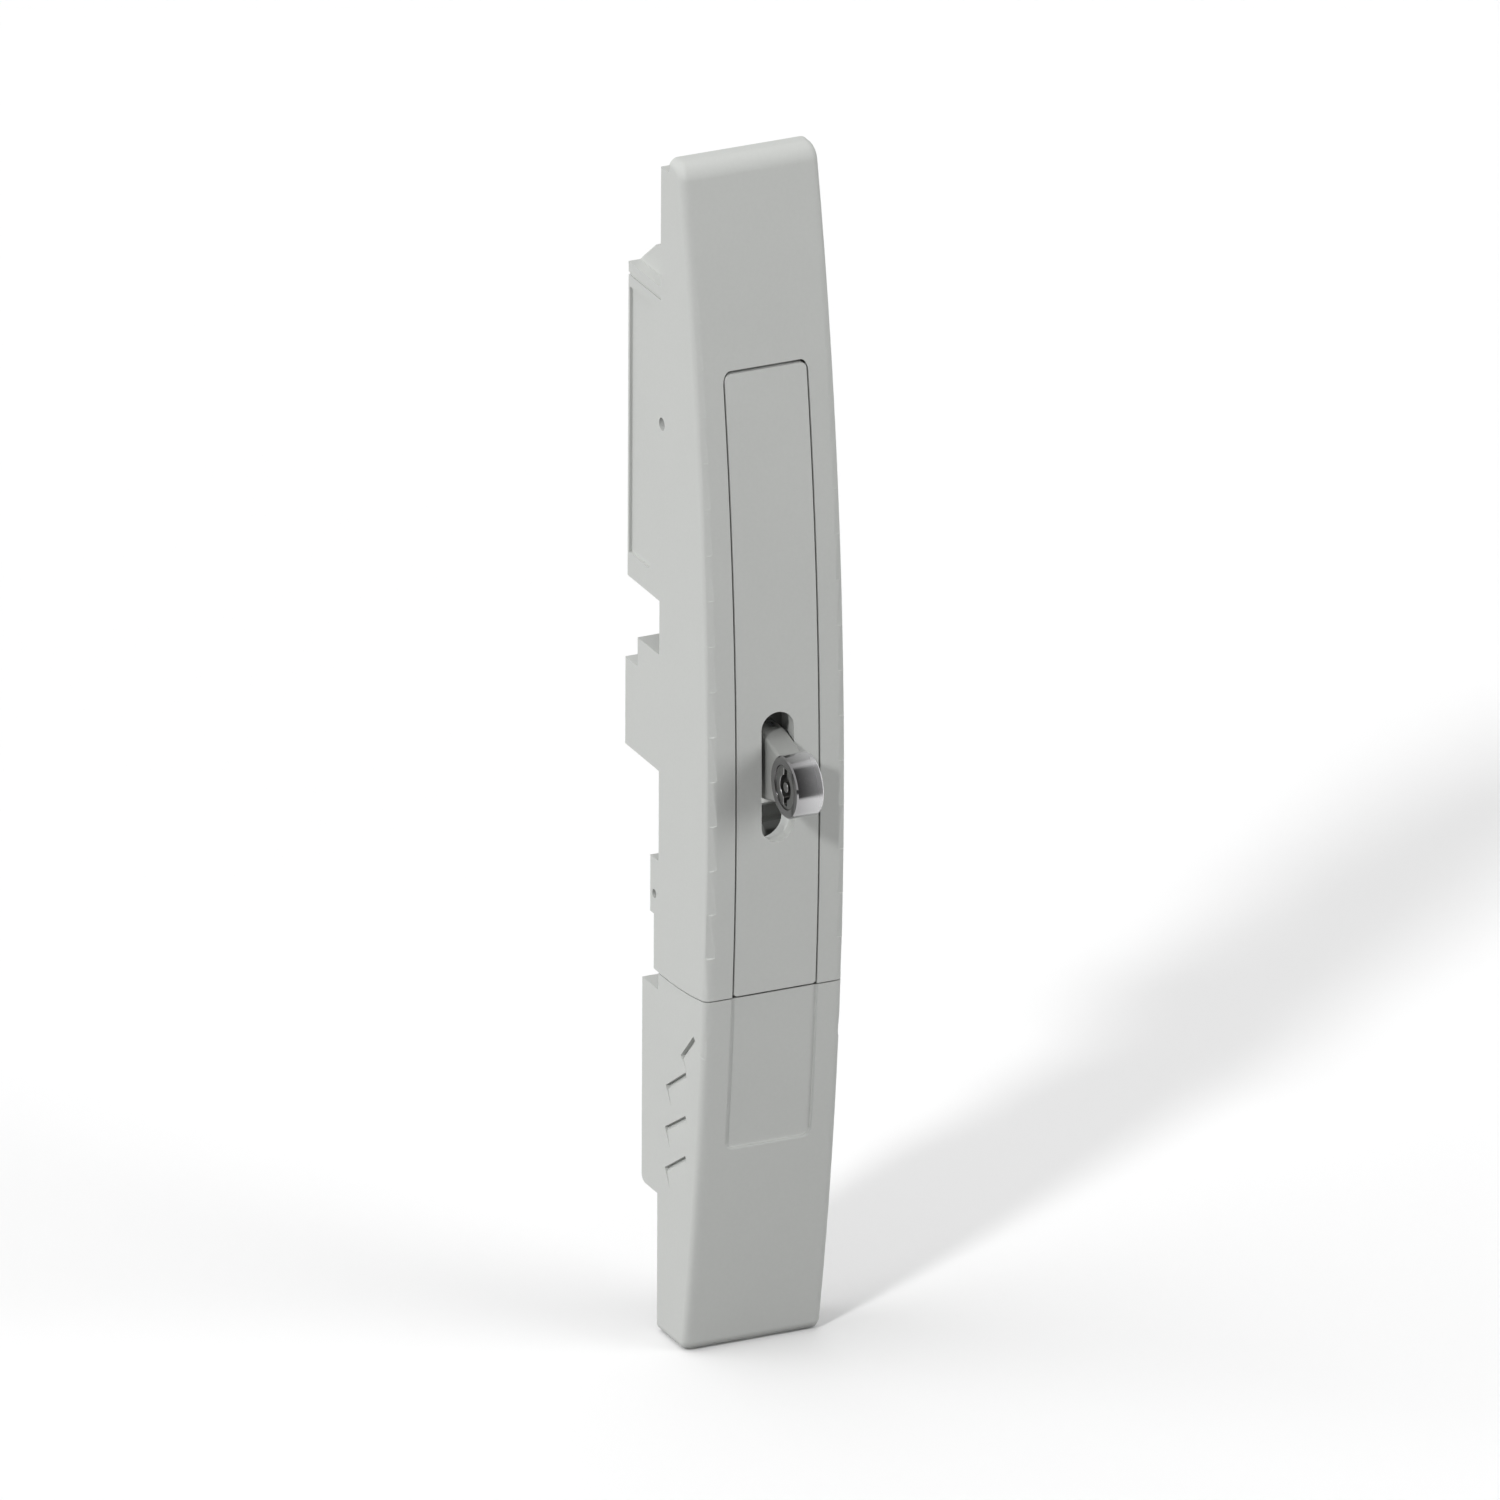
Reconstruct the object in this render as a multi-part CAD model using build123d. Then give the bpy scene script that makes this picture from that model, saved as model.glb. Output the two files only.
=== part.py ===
from build123d import *
import math
import os

# Cabinet locking handle: a bowed moulded housing with a swinging lever, a toothed segment
# that drives a locking rod behind the door, and a key-operated lock on a neck in front.
# Millimetres. +Z is up, the front faces -Y and the door plane is Y = 0.
# Heights are measured from the bottom end, and "front" distances run forward of the door plane.
# The written parts are moved down so that the origin is the centre of the two fixing holes.

# Overall form: a flat back and a front bowed on one radius, crest at APEX_HEIGHT
LENGTH = 302.0
WIDTH = 36.0
APEX_HEIGHT = 140.0
APEX_FRONT = 28.2
TOP_FRONT = 10.8
BOW_RISE = APEX_FRONT - TOP_FRONT
BOW_RADIUS = (BOW_RISE ** 2 + (LENGTH - APEX_HEIGHT) ** 2) / (2 * BOW_RISE)
EDGE_ROUND = 2.2
TOP_ROUND = 5.0
BOTTOM_ROUND = 3.4
TOP_STEP_DEPTH = 4.6
TOP_STEP_HIGH = 3.8
WALL = 3.0
BACK_WALL = 3.0

# Swing axis, seam and running gaps
PIVOT_FRONT = 1.0
PIVOT_HEIGHT = LENGTH - 69.0
SEAM_HEIGHT = 92.4
SEAM_RADIUS = PIVOT_HEIGHT - SEAM_HEIGHT
SEAM_GAP = 0.3
FIT = 0.05
SMALL_GAP = 0.2

# Height of the key socket, which the slot, neck, bolt and keeper go by
LOCK_HEIGHT = 152.0

# Fixing holes, reached from behind the door
FIXING_LOW = SEAM_HEIGHT + 35.6
FIXING_HIGH = LENGTH - 18.0
FIXING_HOLE_R = 2.1
FIXING_DEPTH = 8.0
FIXING_BOSS_R = 4.8

# Blocks behind the door plane
TOP_BLOCK_LOW = PIVOT_HEIGHT - 45.5
TOP_BLOCK_HIGH = PIVOT_HEIGHT + 34.6
TOP_BLOCK_DEPTH = 18.0
SIDE_POCKET_MARGIN = 6.2
SIDE_POCKET_DEPTH = 0.7
SIDE_POCKET_START = 6.0
SIDE_POCKET_RIM = 0.8
GUSSET_HEIGHT = 9.5
GUSSET_BEND = (9.0, 7.0)
GROOVE_DROP = 2.6
GROOVE_WIDTH = 0.8
GROOVE_DEPTH = 0.4
MID_BLOCK_LOW = LOCK_HEIGHT - 8.0
MID_BLOCK_HIGH = LOCK_HEIGHT + 14.3
MID_BLOCK_DEPTH = 19.0
MID_STEP_HIGH = MID_BLOCK_HIGH + 7.4
MID_STEP_DEPTH = 12.2
EAR_THICK = 4.0
EAR_LOW = SEAM_HEIGHT + 14.1
EAR_HIGH = EAR_LOW + 14.4
EAR_DEPTH = 4.6
EAR_HOLE_R = 1.1
EAR_HOLE_HEIGHT = EAR_LOW + 5.2
LEDGE_DEPTH = 2.5
GRIP_BLOCK_LOW = 35.5
GRIP_BLOCK_HIGH = SEAM_HEIGHT - 4.5
GRIP_BLOCK_DEPTH = 8.9
GRIP_BLOCK_ROUND = 2.0

# Inlay panel and its window
PANEL_WIDTH = 21.2
PANEL_TOP = PIVOT_HEIGHT + 18.2
PANEL_THICK = 3.0
PANEL_GAP = 0.5
PANEL_CORNER = 1.5
PANEL_LOW_CORNER = 0.8
SLOT_WIDTH = 8.5
SLOT_LENGTH = 33.0
SLOT_LOW = LOCK_HEIGHT - 2.0 - SLOT_LENGTH / 2
PEG_R = 2.0

# Bare recess and finger ribs on the grip
RECESS_WIDTH = 21.9
RECESS_LOW = 54.6
RECESS_DEPTH = 0.5
RECESS_CORNER = 2.0
RIB_LINES = (
    ((12.9, 76.0), (20.0, 83.5)),
    ((4.6, 65.2), (15.6, 72.6)),
    ((4.1, 54.3), (15.6, 61.4)),
    ((4.1, 43.8), (15.6, 51.1)),
)
RIB_DEPTH = 1.3
RIB_HEIGHT = 1.2
RIB_SHALLOW = 0.35
RIB_FADE = 5.5

# Latch bolt and keeper
BOLT_LOW_X = 1.1
BOLT_THICK = 1.3
BOLT_BAR_HEIGHT = 4.6
BOLT_FORK_GAP = 0.3
BOLT_NOSE_BACK = 18.7
BOLT_NOSE_FRONT = 22.0
BOLT_NOSE_TOP = LOCK_HEIGHT + 8.2
BOLT_REACH = 38.0
COVER_THICK = 1.4
COVER_LAP = 1.2
KEEPER_HALF = 8.0
KEEPER_LOW = LOCK_HEIGHT + 10.2
KEEPER_HIGH = KEEPER_LOW + 18.4
KEEPER_THICK = 2.2
KEEPER_FRONT = 18.2
KEEPER_SCREW_Z = KEEPER_HIGH - 6.0
KEEPER_SCREW_X = 5.0
KEEPER_SCREW_R = 1.25
KEEPER_SCREW_LENGTH = 5.5
KEEPER_SCREW_HEAD = (2.2, 1.5)

# Lever arm: its slot clears the neck, and its pockets lie below the slot and above the keeper
ARM_HALF = 9.0
ARM_THICK = 6.0
ARM_LIP = 2.6
ARM_SLOT_HALF = 5.25
ARM_SLOT_LOW = SLOT_LOW - 2.4
ARM_SLOT_HIGH = SLOT_LOW + SLOT_LENGTH + 1.1
ARM_TOP = PIVOT_HEIGHT + 11.5
ARM_POCKET = 13.0
ARM_POCKET_LOWS = (ARM_SLOT_LOW - 3.5 - ARM_POCKET, KEEPER_HIGH + 3.0)
ARM_WEB_BACK = 10.0
ARM_WEB_LOW = PIVOT_HEIGHT - 35.0
PEG_HEIGHTS = (SEAM_HEIGHT + 12.8, KEEPER_HIGH + 22.0)
TAIL_INSET = 8.2
TAIL_THICK = 4.5
TAIL_LOW = 26.0
TAIL_STEP = SEAM_HEIGHT - 7.2
HUB_R = 9.0
HUB_HALF = 11.5

# Pivot pin and bushes
PIN_R = 2.5
PIN_SEAT = 1.5
DRIFT_HOLE_R = 1.6
BUSH_R = 3.6
BUSH_LENGTH = 8.0
BUSH_FLANGE_R = 5.6
BUSH_FLANGE = 1.0
WALL_BOSS_R = 6.5

# Toothed segment
GEAR_MODULE = 2.4
GEAR_TEETH = 17
GEAR_TEETH_CUT = 5
GEAR_HALF = 4.0
PRESSURE_ANGLE = 20.0
GEAR_TAIL_R = 16.2
GEAR_TAIL_END = 172.0
GEAR_SCREW_RING = 13.0
GEAR_SCREW_ANGLES = (118.0, 158.0)
GEAR_SCREW_R = 1.5
GEAR_SCREW_HEAD = (2.7, 1.6)

# Lock body, barrel and key core
NECK_LEFT = 2.8
NECK_RIGHT = 3.5
NECK_LOW = LOCK_HEIGHT - 8.4
NECK_HIGH = LOCK_HEIGHT + 8.6
NECK_TAPER_START = 25.0
NECK_END = 34.5
NECK_END_LOW = LOCK_HEIGHT - 6.0
NECK_END_HIGH = LOCK_HEIGHT + 6.0
NECK_EDGE = 0.8
FOOT_HALF = 8.5
FOOT_LOW = LOCK_HEIGHT - 15.4
FOOT_HIGH = LOCK_HEIGHT + 16.6
FOOT_FRONT = 14.0
LOCK_SCREW_X = 5.6
LOCK_SCREW_R = 1.5
LOCK_SCREW_LENGTH = 11.0
LOCK_SCREW_HEAD = (2.8, 2.0)
BARREL_FRONT = 39.0
BARREL_R = 7.6
BARREL_HALF = 3.5
BARREL_END_WALL = 0.9
BARREL_EDGE = 0.35
CORE_R = 5.4
CORE_RECESS = 0.3
CORE_BACK = 0.1
SOCKET_R = 3.0
SOCKET_WING_HALF = 0.9
SOCKET_WING_REACH = 4.6
SOCKET_DEPTH = 2.7
KEY_PIN_R = 1.25
CAM_DISC_R = 4.6
CAM_DISC = 0.7
CAM_PIN_R = 1.0
CAM_THROW = 3.2
KEY_TURN = 90.0

# Buffers and grip screws
BUFFER_R = 3.5
BUFFER_X = 5.2
BUFFER_HEIGHT = SEAM_HEIGHT + 16.8
BUFFER_SEAT = 14.5
GRIP_SCREW_HEIGHTS = (36.0, 74.0)
GRIP_SCREW_R = 1.6
GRIP_SCREW_HEAD_R = 3.0
GRIP_SCREW_HEAD_HIGH = 1.8
GRIP_SCREW_LENGTH = 8.0
GRIP_BOSS_R = 4.2
SPOT_DEPTH = 0.8

HALF = WIDTH / 2
INNER = HALF - WALL
ORIGIN_HEIGHT = (FIXING_LOW + FIXING_HIGH) / 2
FAR = 60.0


def slab(half_x, front_low, front_high, low, high):
    """A box centred on X = 0, between two front distances and two heights."""
    return span(-half_x, half_x, front_low, front_high, low, high)


def span(x_low, x_high, front_low, front_high, low, high):
    """A box between two X values, two front distances and two heights."""
    centre = Pos((x_low + x_high) / 2, -(front_low + front_high) / 2, (low + high) / 2)
    return centre * Box(x_high - x_low, front_high - front_low, high - low)


def disc_x(radius, x_low, x_high, front, height):
    """A cylinder along X."""
    return Pos((x_low + x_high) / 2, -front, height) * Rot(0, 90, 0) * Cylinder(radius, x_high - x_low)


def disc_y(radius, front_low, front_high, x, height):
    """A cylinder along Y."""
    turned = Rot(90, 0, 0) * Cylinder(radius, front_high - front_low)
    return Pos(x, -(front_low + front_high) / 2, height) * turned


def swing(radius, half_x=FAR):
    """A cylinder about the swing axis."""
    return disc_x(radius, -half_x, half_x, PIVOT_FRONT, PIVOT_HEIGHT)


def front_at(height, inset=0.0):
    """How far the bowed front, or a layer inset from it, stands forward at a height."""
    radius = BOW_RADIUS - inset
    return APEX_FRONT - BOW_RADIUS + math.sqrt(radius ** 2 - (height - APEX_HEIGHT) ** 2)


def bow(inset, half_x, low, high, back=0.0, end_round=0.0, edge_round=0.0):
    """A block with a flat back and the bowed front, inset by a wall."""
    middle = (low + high) / 2
    corners = [(-front_at(z, inset), z) for z in (low, middle, high)]
    outline = make_face([
        ThreePointArc(*corners),
        Line(corners[2], (-back, high)),
        Line((-back, high), (-back, low)),
        Line((-back, low), corners[0]),
    ])
    if end_round:
        outline = fillet(outline.vertices().filter_by(lambda v: v.X < -back - end_round / 2), end_round)
    body = extrude(Plane.YZ * outline, amount=half_x, both=True)
    if edge_round:
        sides = body.faces().filter_by(Axis.X).edges()
        body = fillet(sides.filter_by(lambda e: e.center().Y < -back - edge_round / 4), edge_round)
    return body


def layer(half_x, inset, thick, low, high):
    """A curved bar that follows the bow, between two insets."""
    return bow(inset, half_x, low, high) - bow(inset + thick, half_x * 2, low - 1, high + 1, -FAR)


def oblong_y(half_width, low, high, front_low, front_high):
    """A round-ended slot through the front."""
    body = slab(half_width, front_low, front_high, low + half_width, high - half_width)
    for height in (low + half_width, high - half_width):
        body += disc_y(half_width, front_low, front_high, 0, height)
    return body


def screw(radius, length, head_r, head_high):
    """A screw along +Z: shank from Z = 0 upward, head below with a six-sided socket."""
    shank = Pos(0, 0, length / 2) * Cylinder(radius, length)
    shank = chamfer(shank.edges().sort_by(Axis.Z)[-1], radius / 3)
    head = Pos(0, 0, -head_high / 2) * Cylinder(head_r, head_high)
    head = chamfer(head.edges().sort_by(Axis.Z)[0], head_high / 4)
    socket = extrude(RegularPolygon(radius, 6), head_high / 2)
    return shank + head - Pos(0, 0, -head_high) * socket


def screw_front(screw_body, x, head_seat, height):
    """Turns a screw to point forward, with its head seated at a front distance."""
    return Pos(x, -head_seat, height) * Rot(90, 0, 0) * screw_body


def make_housing():
    """The fixed moulding: two rails beside the window, a top end and the blocks behind the door."""
    body = bow(0, HALF, 0, LENGTH, 0, TOP_ROUND, EDGE_ROUND)
    body &= swing(SEAM_RADIUS)
    body -= slab(HALF, -1, TOP_STEP_DEPTH, LENGTH - TOP_STEP_HIGH, LENGTH + 1)
    lap = BACK_WALL
    body += slab(HALF, -TOP_BLOCK_DEPTH, lap, TOP_BLOCK_LOW, TOP_BLOCK_HIGH)
    body += slab(HALF, -MID_BLOCK_DEPTH, lap, MID_BLOCK_LOW, MID_BLOCK_HIGH)
    body += slab(HALF, -MID_STEP_DEPTH, lap, MID_BLOCK_HIGH - lap, MID_STEP_HIGH)
    for side in (-1, 1):
        ear_x = sorted((side * HALF, side * (HALF - EAR_THICK)))
        body += span(*ear_x, -EAR_DEPTH, lap, EAR_LOW, EAR_HIGH)
        ledge = span(*ear_x, -LEDGE_DEPTH, lap, GRIP_BLOCK_HIGH, EAR_LOW + lap)
        body += ledge & swing(SEAM_RADIUS)
    bend_depth, bend_height = GUSSET_BEND
    gusset = make_face(Polyline(
        (-1, TOP_BLOCK_HIGH - 1), (TOP_BLOCK_DEPTH, TOP_BLOCK_HIGH - 1), (TOP_BLOCK_DEPTH, TOP_BLOCK_HIGH),
        (bend_depth, TOP_BLOCK_HIGH + bend_height), (-1, TOP_BLOCK_HIGH + GUSSET_HEIGHT), close=True))
    gusset = extrude(Plane.YZ * gusset, amount=WALL / 2, both=True)
    for side in (-1, 1):
        body += Pos(side * (INNER - WALL / 2), 0, 0) * gusset

    # Hollows: the channel, the top end, the top block and the pocket of the middle block
    inner_top = LENGTH - TOP_STEP_HIGH - WALL
    body -= bow(WALL, INNER, GRIP_BLOCK_LOW, inner_top, BACK_WALL, TOP_ROUND - WALL, 1.0)
    body -= slab(INNER, -TOP_BLOCK_DEPTH + WALL, BACK_WALL * 4, TOP_BLOCK_LOW + WALL, TOP_BLOCK_HIGH - WALL)
    body -= slab(INNER, -1, BACK_WALL * 2, TOP_BLOCK_HIGH + WALL, inner_top)
    body -= slab(INNER, -MID_BLOCK_DEPTH - 1, 0, MID_BLOCK_LOW + WALL, MID_BLOCK_HIGH - WALL)

    # Window for the lever, with a round top that the panel swings past
    window_half = PANEL_WIDTH / 2 + PANEL_GAP
    body -= slab(window_half, BACK_WALL * 4, FAR, GRIP_BLOCK_LOW, PIVOT_HEIGHT)
    sweep = math.hypot(front_at(PANEL_TOP) - PIVOT_FRONT, PANEL_TOP - PIVOT_HEIGHT)
    window_top = swing(sweep + PANEL_GAP, window_half) & slab(window_half, 0, FAR, PIVOT_HEIGHT - 1, LENGTH)
    body -= fillet(window_top.edges().filter_by(GeomType.CIRCLE), PANEL_CORNER + PANEL_GAP)

    # Slot in the back of the top block, where the teeth reach the rod
    tooth_tip = GEAR_MODULE * (GEAR_TEETH / 2 + 1) + PANEL_GAP
    inner_back = TOP_BLOCK_DEPTH - WALL + PIVOT_FRONT
    tooth_slot = math.sqrt(tooth_tip ** 2 - inner_back ** 2) + SMALL_GAP
    body -= slab(GEAR_HALF + 1, -TOP_BLOCK_DEPTH - 1, 0, PIVOT_HEIGHT - tooth_slot, PIVOT_HEIGHT + tooth_slot)

    # Shallow pockets and a fine groove on the sides of the top block, and the ears' holes
    groove_low = TOP_BLOCK_HIGH - GROOVE_DROP - GROOVE_WIDTH
    for side in (-1, 1):
        groove_x = sorted((side * (HALF - GROOVE_DEPTH), side * (HALF + 1)))
        body -= span(*groove_x, -TOP_BLOCK_DEPTH - 1, 0, groove_low, groove_low + GROOVE_WIDTH)
        pocket_x = sorted((side * (HALF - SIDE_POCKET_DEPTH), side * (HALF + 1)))
        body -= span(*pocket_x, -TOP_BLOCK_DEPTH + SIDE_POCKET_RIM, -SIDE_POCKET_START,
                     TOP_BLOCK_LOW + SIDE_POCKET_MARGIN, TOP_BLOCK_HIGH - SIDE_POCKET_MARGIN)
        body -= disc_x(EAR_HOLE_R, side * HALF - EAR_THICK * 2, side * HALF + EAR_THICK * 2,
                       -EAR_DEPTH / 2, EAR_HOLE_HEIGHT)

    # Pivot bosses, the pin's blind seat with its drift hole, and the open seat it goes in by
    boss_face = HUB_HALF + BUSH_FLANGE + SMALL_GAP
    for side in (-1, 1):
        boss_x = sorted((side * boss_face, side * (INNER + 1)))
        body += disc_x(WALL_BOSS_R, *boss_x, PIVOT_FRONT, PIVOT_HEIGHT)
    body -= disc_x(PIN_R, -INNER - PIN_SEAT, HALF + 1, PIVOT_FRONT, PIVOT_HEIGHT)
    body -= disc_x(DRIFT_HOLE_R, -HALF - 1, 0, PIVOT_FRONT, PIVOT_HEIGHT)

    # Bosses for the fixing screws and the buffers
    for height, boss_front in ((FIXING_LOW, FIXING_DEPTH + WALL), (FIXING_HIGH, front_at(FIXING_HIGH) - 1)):
        body += disc_y(FIXING_BOSS_R, 0, boss_front, 0, height)
        body += slab(INNER + 1, 0, BACK_WALL * 2, height - 1, height + 1)
        body -= disc_y(FIXING_HOLE_R, -1, FIXING_DEPTH, 0, height)
    for side in (-1, 1):
        body += disc_y(BUFFER_R + 1, 1, BUFFER_SEAT, side * BUFFER_X, BUFFER_HEIGHT)
        body -= disc_y(LOCK_SCREW_R + SMALL_GAP, -1, BACK_WALL + 1, side * LOCK_SCREW_X, lock_screw_height())
    return body


def lock_screw_height():
    """The lock's screws lie in the middle of the pocket behind it."""
    return (MID_BLOCK_LOW + MID_BLOCK_HIGH) / 2


def grip_boss(height):
    """A boss from the grip's front wall back to the arm's tail."""
    between = layer(HALF, WALL / 2, TAIL_INSET - WALL / 2, 0, TAIL_STEP)
    return disc_y(GRIP_BOSS_R, 0, FAR, 0, height) & between


def rib_cut(line):
    """A cut on the left side: deep along its upper line, then shallow and fading out below."""
    (front_a, low_a), (front_b, low_b) = line
    run = Vector(0, -(front_b - front_a), low_b - low_a)
    plane = Plane(origin=(-HALF, -front_a, low_a), x_dir=(1, 0, 0), z_dir=run.normalized())
    profile = make_face(Polyline(
        (-1, 0), (RIB_DEPTH, 0), (RIB_SHALLOW, -RIB_HEIGHT), (0, -RIB_FADE), (-1, -RIB_FADE), close=True))
    return extrude(plane * profile, amount=run.length)


def make_grip():
    """The moulded lower grip, open at the back, with its bare front recess and finger ribs."""
    body = bow(0, HALF, 0, LENGTH, 0, BOTTOM_ROUND, EDGE_ROUND)
    block = slab(HALF, -GRIP_BLOCK_DEPTH, WALL, GRIP_BLOCK_LOW, GRIP_BLOCK_HIGH)
    low_back = block.edges().filter_by(Axis.X).sort_by(Axis.Z)[:2].sort_by(Axis.Y)[-1]
    body += fillet(low_back, GRIP_BLOCK_ROUND)
    body -= swing(SEAM_RADIUS + SEAM_GAP)
    body -= bow(WALL, INNER, WALL, LENGTH, -1.0, 1.0, 1.0)
    body -= slab(INNER, -GRIP_BLOCK_DEPTH - 1, WALL, GRIP_BLOCK_LOW + WALL, GRIP_BLOCK_HIGH - WALL)
    recess = slab(RECESS_WIDTH / 2, 0, FAR, RECESS_LOW, GRIP_BLOCK_HIGH * 2)
    recess = fillet(recess.edges().filter_by(Axis.Y), RECESS_CORNER)
    body -= recess - bow(RECESS_DEPTH, HALF, 0, LENGTH)
    for line in RIB_LINES:
        cut = rib_cut(line)
        body -= cut
        body -= mirror(cut, about=Plane.YZ)
    for height in GRIP_SCREW_HEIGHTS:
        body += grip_boss(height)
        body -= disc_y(GRIP_SCREW_R, 0, grip_screw_seat(height) + GRIP_SCREW_LENGTH + FIT, 0, height)
    rib_height = (TAIL_LOW + WALL) / 2
    web = slab(INNER + 1, 2, FAR, rib_height - 1, rib_height + 1) & bow(WALL / 2, HALF, 0, LENGTH)
    body += web
    return body


def make_panel():
    """The inlay panel: a bowed skin with the oblong slot and two pegs behind."""
    half = PANEL_WIDTH / 2
    skin = layer(half, 0, PANEL_THICK, GRIP_BLOCK_HIGH, PANEL_TOP) & swing(SEAM_RADIUS + SEAM_GAP - PANEL_GAP)
    corners = skin.edges().filter_by(Axis.Y).filter_by(lambda e: e.center().Z > PANEL_TOP - 1)
    skin = fillet(corners, PANEL_CORNER)
    low_corners = skin.edges().filter_by(
        lambda e: e.center().Z < SEAM_HEIGHT + 3 and abs(e.center().X) > half - FIT and e.length < PANEL_THICK * 2)
    skin = fillet(low_corners, PANEL_LOW_CORNER)
    skin -= oblong_y(SLOT_WIDTH / 2, SLOT_LOW, SLOT_LOW + SLOT_LENGTH, 0, FAR)
    for height in PEG_HEIGHTS:
        seat = front_at(height) - PANEL_THICK
        skin += disc_y(PEG_R, seat - ARM_THICK, seat + PANEL_THICK / 2, 0, height)
    return skin


def make_arm():
    """The cast lever arm: a ribbed bar behind the panel, its hub, and the tail inside the grip."""
    inset = PANEL_THICK + SMALL_GAP
    bar = layer(ARM_HALF, inset, ARM_THICK, TAIL_STEP, ARM_TOP)
    web = make_face(Polyline(
        (HUB_R - 1, PIVOT_HEIGHT + HUB_R / 2), (HUB_R - 1, PIVOT_HEIGHT - HUB_R / 2),
        (-ARM_WEB_BACK, ARM_WEB_LOW), (-FAR, ARM_WEB_LOW),
        (-FAR, ARM_TOP), (-HUB_R / 3, ARM_TOP), close=True))
    web = extrude(Plane.YZ * web, amount=ARM_HALF, both=True)
    body = bar + (web & bow(inset, ARM_HALF, 0, ARM_TOP, -HUB_R))
    body += disc_x(HUB_R, -HUB_HALF, HUB_HALF, PIVOT_FRONT, PIVOT_HEIGHT)
    tail = layer(ARM_HALF, TAIL_INSET, TAIL_THICK, TAIL_LOW, TAIL_STEP + ARM_THICK)
    body += fillet(tail.edges().filter_by(Axis.Y).group_by(Axis.Z)[0], 3)

    # Pockets behind the bar leave a web, two side walls and cross ribs
    for low in ARM_POCKET_LOWS:
        body -= layer(ARM_HALF - ARM_LIP, inset + ARM_LIP, ARM_THICK, low, low + ARM_POCKET)
    pilots = [(KEEPER_SCREW_X * side, KEEPER_SCREW_Z) for side in (-1, 1)]
    body -= oblong_y(ARM_SLOT_HALF, ARM_SLOT_LOW, ARM_SLOT_HIGH, 0, FAR)
    body -= slab(ARM_HALF + 1, 0, KEEPER_FRONT, KEEPER_LOW - 2, KEEPER_HIGH + 1)
    for x, height in pilots:
        body -= disc_y(KEEPER_SCREW_R, 0, KEEPER_FRONT + 4, x, height)
    for height in PEG_HEIGHTS:
        body -= disc_y(PEG_R + SMALL_GAP / 2, 0, FAR, 0, height)
    for height in GRIP_SCREW_HEIGHTS:
        body -= disc_y(GRIP_SCREW_R + SMALL_GAP, 0, FAR, 0, height)
        body -= disc_y(GRIP_SCREW_HEAD_R + SMALL_GAP, 0, grip_screw_seat(height), 0, height)

    # Seats for the bushes, the pin's way through and the slot that holds the toothed segment
    body -= disc_x(PIN_R + SMALL_GAP * 2, -HUB_HALF - 1, HUB_HALF + 1, PIVOT_FRONT, PIVOT_HEIGHT)
    for side in (-1, 1):
        seat_x = sorted((side * (HUB_HALF - BUSH_LENGTH), side * (HUB_HALF + 1)))
        body -= disc_x(BUSH_R, *seat_x, PIVOT_FRONT, PIVOT_HEIGHT)
    ring = swing(GEAR_TAIL_R + SMALL_GAP, GEAR_HALF + FIT) - swing(HUB_R)
    body -= ring & slab(HALF, -FAR, FAR, PIVOT_HEIGHT - HUB_R / 2, LENGTH)
    for angle in GEAR_SCREW_ANGLES:
        front, height = gear_place(GEAR_SCREW_RING, angle)
        body -= disc_x(GEAR_SCREW_R, -ARM_HALF - 1, ARM_HALF + 1, front, height)
    return body


def grip_screw_seat(height):
    """Front distance of the flat spot that a grip screw's head lies on."""
    return front_at(height, TAIL_INSET + TAIL_THICK - SPOT_DEPTH)


def gear_place(radius, angle):
    """Front distance and height of a point about the swing axis; angle 0 points straight back."""
    turn = math.radians(angle)
    return PIVOT_FRONT - radius * math.cos(turn), PIVOT_HEIGHT + radius * math.sin(turn)


def involute(base_r, radius):
    """Polar angle, in radians, of the involute at a radius."""
    ratio = math.sqrt(max((radius / base_r) ** 2 - 1, 0))
    return ratio - math.atan(ratio)


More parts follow.
